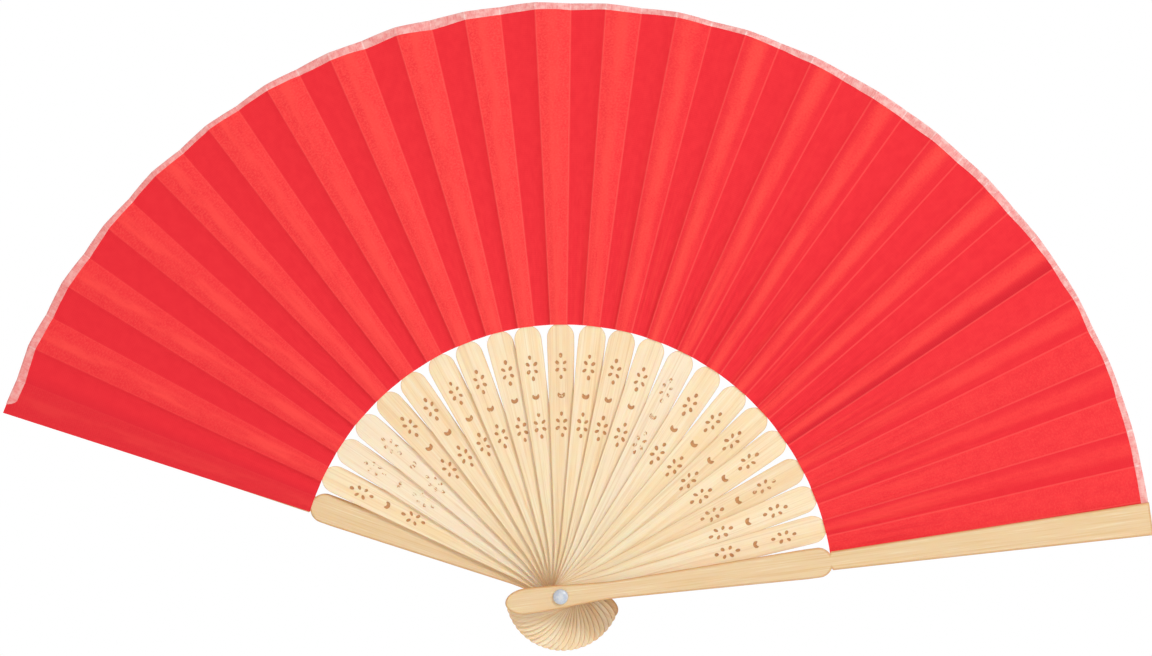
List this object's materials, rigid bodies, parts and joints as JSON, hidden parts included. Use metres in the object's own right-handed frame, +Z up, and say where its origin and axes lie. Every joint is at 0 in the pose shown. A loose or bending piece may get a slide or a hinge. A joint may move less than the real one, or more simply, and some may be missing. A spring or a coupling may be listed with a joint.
{
  "type": "hand fan",
  "caption": "Folding hand fan: stamped bamboo ribs between two guards on one rivet, with a pleated red cloth leaf. It closes by turning every stick about the rivet.",
  "frame": {"origin": "on the rivet's axis, halfway through the stack of sticks, where the hand holds the fan", "axes": "+Z up along the middle rib, from the rivet to the leaf's rim; +Y from the front of the fan to its back, along the rivet; +X to the right, seen from the front"},
  "size_m": [0.3775, 0.029, 0.211],
  "materials": {
    "bamboo": "satin",
    "red_cloth": "matte",
    "pearl_plastic": "gloss",
    "edge_tape": "matte"
  },
  "bodies": {
    "rear_guard": {"rear_guard": "bamboo", "leaf_pleat_00": "red_cloth"},
    "rib_01": {"rib_01": "bamboo", "leaf_pleat_01": "red_cloth"},
    "rib_02": {"rib_02": "bamboo", "leaf_pleat_02": "red_cloth"},
    "rib_03": {"rib_03": "bamboo", "leaf_pleat_03": "red_cloth"},
    "rib_04": {"rib_04": "bamboo", "leaf_pleat_04": "red_cloth"},
    "rib_05": {"rib_05": "bamboo", "leaf_pleat_05": "red_cloth"},
    "rib_06": {"rib_06": "bamboo", "leaf_pleat_06": "red_cloth"},
    "rib_07": {"rib_07": "bamboo", "leaf_pleat_07": "red_cloth"},
    "rib_08": {"rib_08": "bamboo", "leaf_pleat_08": "red_cloth"},
    "rib_09": {"rib_09": "bamboo", "leaf_pleat_09": "red_cloth"},
    "rib_10": {"rib_10": "bamboo", "leaf_pleat_10": "red_cloth"},
    "rib_11": {"rib_11": "bamboo", "leaf_pleat_11": "red_cloth", "rivet_pin": "pearl_plastic", "rivet_cap": "pearl_plastic"},
    "rib_12": {"rib_12": "bamboo", "leaf_pleat_12": "red_cloth"},
    "rib_13": {"rib_13": "bamboo", "leaf_pleat_13": "red_cloth"},
    "rib_14": {"rib_14": "bamboo", "leaf_pleat_14": "red_cloth"},
    "rib_15": {"rib_15": "bamboo", "leaf_pleat_15": "red_cloth"},
    "rib_16": {"rib_16": "bamboo", "leaf_pleat_16": "red_cloth"},
    "rib_17": {"rib_17": "bamboo", "leaf_pleat_17": "red_cloth"},
    "rib_18": {"rib_18": "bamboo", "leaf_pleat_18": "red_cloth"},
    "rib_19": {"rib_19": "bamboo", "leaf_pleat_19": "red_cloth"},
    "rib_20": {"rib_20": "bamboo", "leaf_pleat_20": "red_cloth"},
    "rib_21": {"rib_21": "bamboo", "leaf_pleat_21": "red_cloth"},
    "front_guard": {"front_guard": "bamboo", "leaf_pleat_22": "red_cloth"}
  },
  "joints": [
    {"name": "rib_12_pivot", "type": "hinge", "parent": "rib_11", "child": "rib_12", "pos_m": [0, 0, 0], "axis": [0, -1, 0], "range_deg": [0, 6.95]},
    {"name": "rib_13_pivot", "type": "hinge", "parent": "rib_12", "child": "rib_13", "pos_m": [0, 0, 0], "axis": [0, -1, 0], "range_deg": [0, 6.95]},
    {"name": "rib_14_pivot", "type": "hinge", "parent": "rib_13", "child": "rib_14", "pos_m": [0, 0, 0], "axis": [0, -1, 0], "range_deg": [0, 6.95]},
    {"name": "rib_15_pivot", "type": "hinge", "parent": "rib_14", "child": "rib_15", "pos_m": [0, 0, 0], "axis": [0, -1, 0], "range_deg": [0, 6.95]},
    {"name": "rib_16_pivot", "type": "hinge", "parent": "rib_15", "child": "rib_16", "pos_m": [0, 0, 0], "axis": [0, -1, 0], "range_deg": [0, 6.95]},
    {"name": "rib_17_pivot", "type": "hinge", "parent": "rib_16", "child": "rib_17", "pos_m": [0, 0, 0], "axis": [0, -1, 0], "range_deg": [0, 6.95]},
    {"name": "rib_18_pivot", "type": "hinge", "parent": "rib_17", "child": "rib_18", "pos_m": [0, 0, 0], "axis": [0, -1, 0], "range_deg": [0, 6.95]},
    {"name": "rib_19_pivot", "type": "hinge", "parent": "rib_18", "child": "rib_19", "pos_m": [0, 0, 0], "axis": [0, -1, 0], "range_deg": [0, 6.95]},
    {"name": "rib_20_pivot", "type": "hinge", "parent": "rib_19", "child": "rib_20", "pos_m": [0, 0, 0], "axis": [0, -1, 0], "range_deg": [0, 6.95]},
    {"name": "rib_21_pivot", "type": "hinge", "parent": "rib_20", "child": "rib_21", "pos_m": [0, 0, 0], "axis": [0, -1, 0], "range_deg": [0, 6.95]},
    {"name": "front_guard_pivot", "type": "hinge", "parent": "rib_21", "child": "front_guard", "pos_m": [0, 0, 0], "axis": [0, -1, 0], "range_deg": [0, 6.95]},
    {"name": "rib_10_pivot", "type": "hinge", "parent": "rib_11", "child": "rib_10", "pos_m": [0, 0, 0], "axis": [0, 1, 0], "range_deg": [0, 6.95]},
    {"name": "rib_09_pivot", "type": "hinge", "parent": "rib_10", "child": "rib_09", "pos_m": [0, 0, 0], "axis": [0, 1, 0], "range_deg": [0, 6.95]},
    {"name": "rib_08_pivot", "type": "hinge", "parent": "rib_09", "child": "rib_08", "pos_m": [0, 0, 0], "axis": [0, 1, 0], "range_deg": [0, 6.95]},
    {"name": "rib_07_pivot", "type": "hinge", "parent": "rib_08", "child": "rib_07", "pos_m": [0, 0, 0], "axis": [0, 1, 0], "range_deg": [0, 6.95]},
    {"name": "rib_06_pivot", "type": "hinge", "parent": "rib_07", "child": "rib_06", "pos_m": [0, 0, 0], "axis": [0, 1, 0], "range_deg": [0, 6.95]},
    {"name": "rib_05_pivot", "type": "hinge", "parent": "rib_06", "child": "rib_05", "pos_m": [0, 0, 0], "axis": [0, 1, 0], "range_deg": [0, 6.95]},
    {"name": "rib_04_pivot", "type": "hinge", "parent": "rib_05", "child": "rib_04", "pos_m": [0, 0, 0], "axis": [0, 1, 0], "range_deg": [0, 6.95]},
    {"name": "rib_03_pivot", "type": "hinge", "parent": "rib_04", "child": "rib_03", "pos_m": [0, 0, 0], "axis": [0, 1, 0], "range_deg": [0, 6.95]},
    {"name": "rib_02_pivot", "type": "hinge", "parent": "rib_03", "child": "rib_02", "pos_m": [0, 0, 0], "axis": [0, 1, 0], "range_deg": [0, 6.95]},
    {"name": "rib_01_pivot", "type": "hinge", "parent": "rib_02", "child": "rib_01", "pos_m": [0, 0, 0], "axis": [0, 1, 0], "range_deg": [0, 6.95]},
    {"name": "rear_guard_pivot", "type": "hinge", "parent": "rib_01", "child": "rear_guard", "pos_m": [0, 0, 0], "axis": [0, 1, 0], "range_deg": [0, 6.95]}
  ],
  "couplings": [
    {"joint": "rib_13_pivot", "follows": "rib_12_pivot", "ratio": 1},
    {"joint": "rib_14_pivot", "follows": "rib_12_pivot", "ratio": 1},
    {"joint": "rib_15_pivot", "follows": "rib_12_pivot", "ratio": 1},
    {"joint": "rib_16_pivot", "follows": "rib_12_pivot", "ratio": 1},
    {"joint": "rib_17_pivot", "follows": "rib_12_pivot", "ratio": 1},
    {"joint": "rib_18_pivot", "follows": "rib_12_pivot", "ratio": 1},
    {"joint": "rib_19_pivot", "follows": "rib_12_pivot", "ratio": 1},
    {"joint": "rib_20_pivot", "follows": "rib_12_pivot", "ratio": 1},
    {"joint": "rib_21_pivot", "follows": "rib_12_pivot", "ratio": 1},
    {"joint": "front_guard_pivot", "follows": "rib_12_pivot", "ratio": 1},
    {"joint": "rib_10_pivot", "follows": "rib_12_pivot", "ratio": 1},
    {"joint": "rib_09_pivot", "follows": "rib_12_pivot", "ratio": 1},
    {"joint": "rib_08_pivot", "follows": "rib_12_pivot", "ratio": 1},
    {"joint": "rib_07_pivot", "follows": "rib_12_pivot", "ratio": 1},
    {"joint": "rib_06_pivot", "follows": "rib_12_pivot", "ratio": 1},
    {"joint": "rib_05_pivot", "follows": "rib_12_pivot", "ratio": 1},
    {"joint": "rib_04_pivot", "follows": "rib_12_pivot", "ratio": 1},
    {"joint": "rib_03_pivot", "follows": "rib_12_pivot", "ratio": 1},
    {"joint": "rib_02_pivot", "follows": "rib_12_pivot", "ratio": 1},
    {"joint": "rib_01_pivot", "follows": "rib_12_pivot", "ratio": 1},
    {"joint": "rear_guard_pivot", "follows": "rib_12_pivot", "ratio": 1}
  ]
}
